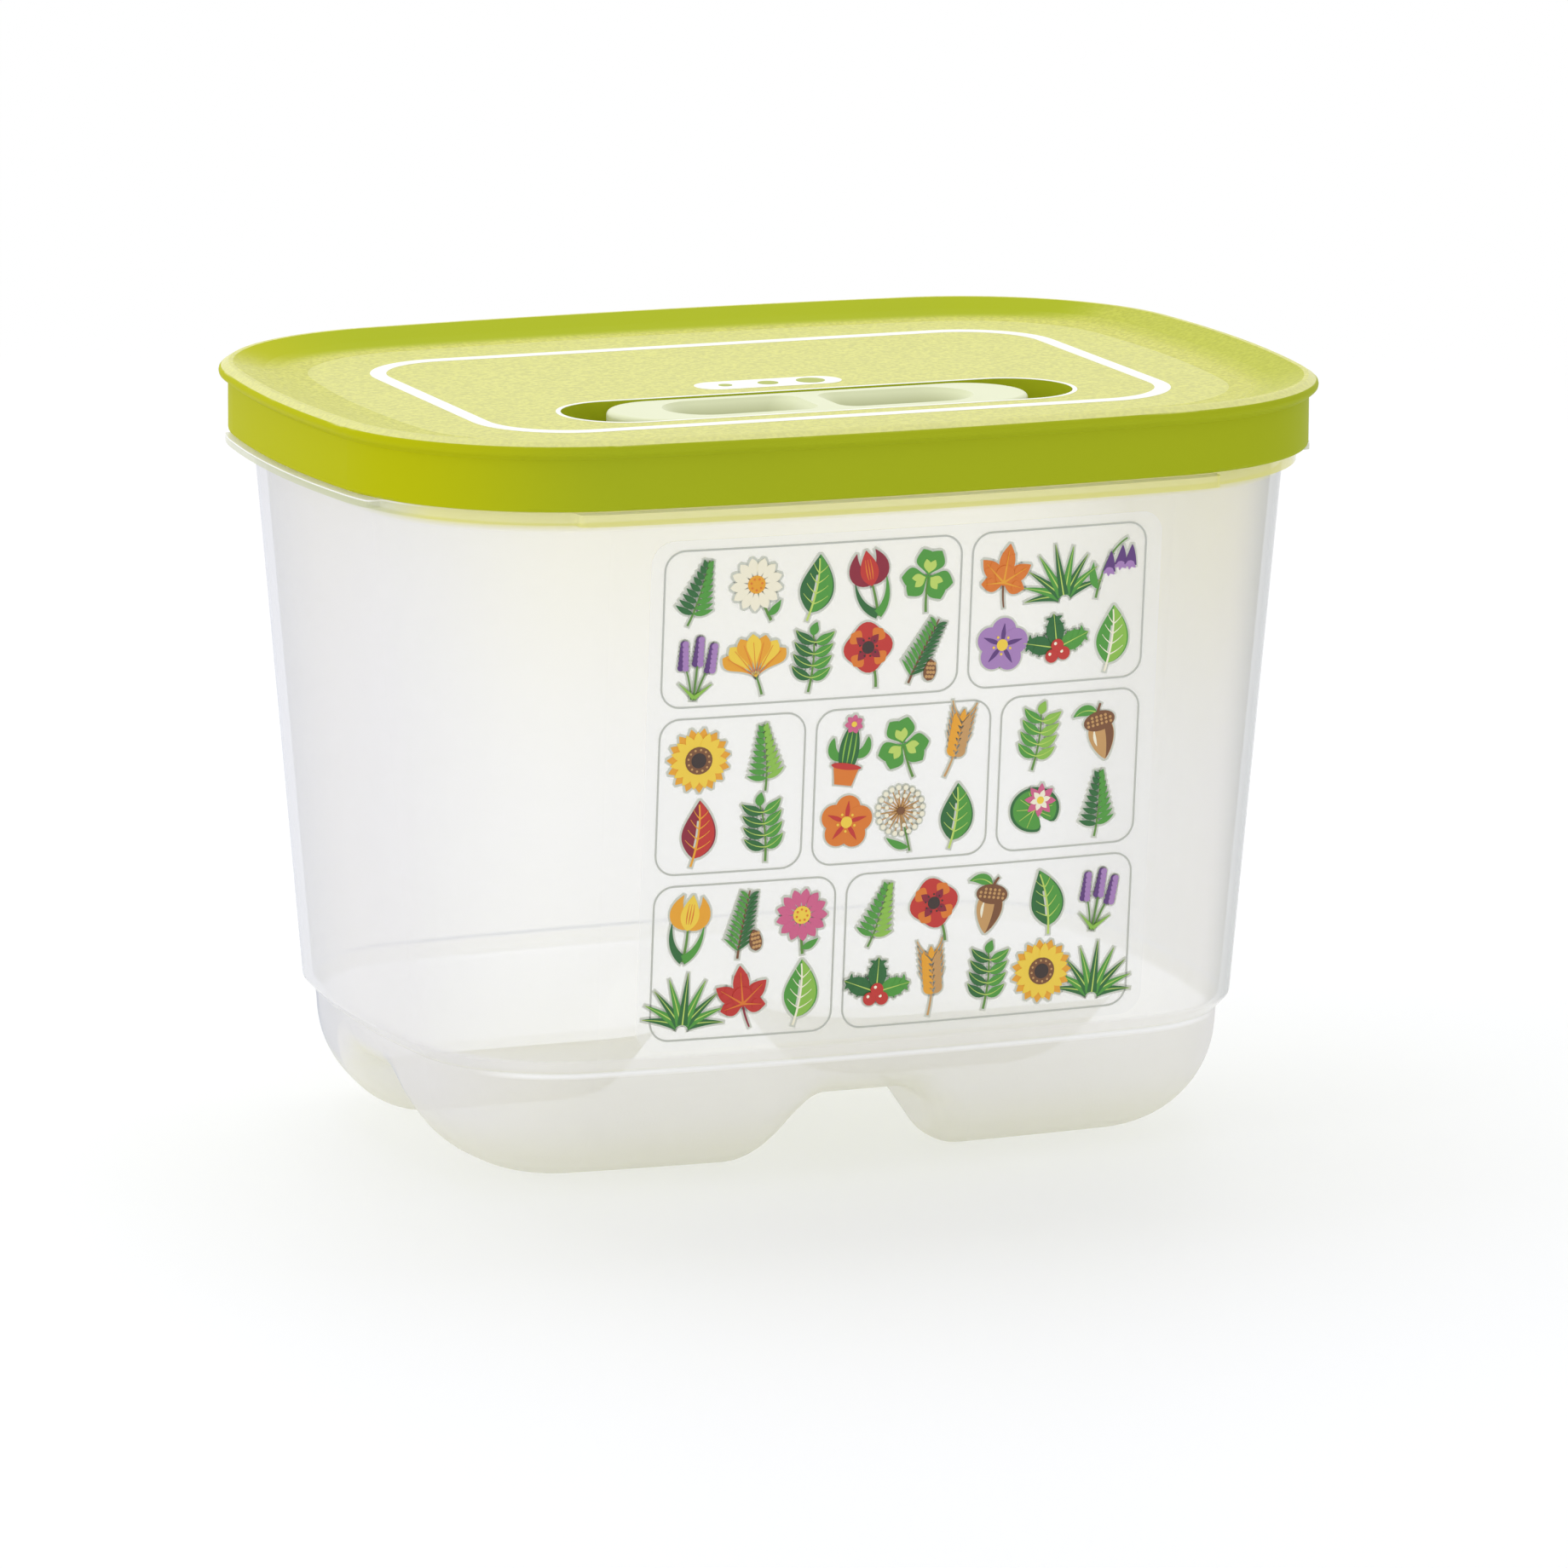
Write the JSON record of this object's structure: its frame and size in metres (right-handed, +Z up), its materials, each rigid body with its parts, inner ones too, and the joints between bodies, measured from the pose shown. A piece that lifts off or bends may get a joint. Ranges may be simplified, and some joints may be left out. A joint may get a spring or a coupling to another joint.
{
  "type": "food storage container",
  "caption": "Tall see-through food keeper on hollow feet, with a press-on lid, a sliding air vent and a clear label film on the front wall.",
  "frame": {"origin": "centre of the container's box, on the surface that its feet stand on", "axes": "+X along the long side to the right, +Y towards the back, +Z up; the labelled long wall faces -Y"},
  "size_m": [0.18, 0.1336, 0.1308],
  "materials": {
    "tub_plastic": "clear natural polypropylene, glossy wall above the step and frosted feet below it",
    "lid_plastic": "lime green soft polyethylene, smooth skirt and finely grained top panel with white printed lines",
    "slider_plastic": "pale green-white satin plastic",
    "label_film": null
  },
  "bodies": {
    "tub": {"tub": "tub_plastic", "label_film": "label_film"},
    "lid": {"lid": "lid_plastic"},
    "vent_slider": {"vent_slider": "slider_plastic"}
  },
  "joints": [
    {"name": "lid_lift", "type": "slide", "parent": "tub", "child": "lid", "axis": [0, 0, 1], "range_m": [0, 0.06]},
    {"name": "vent_slide", "type": "slide", "parent": "lid", "child": "vent_slider", "axis": [1, 0, 0], "range_m": [-0.0078, 0.0078]}
  ]
}
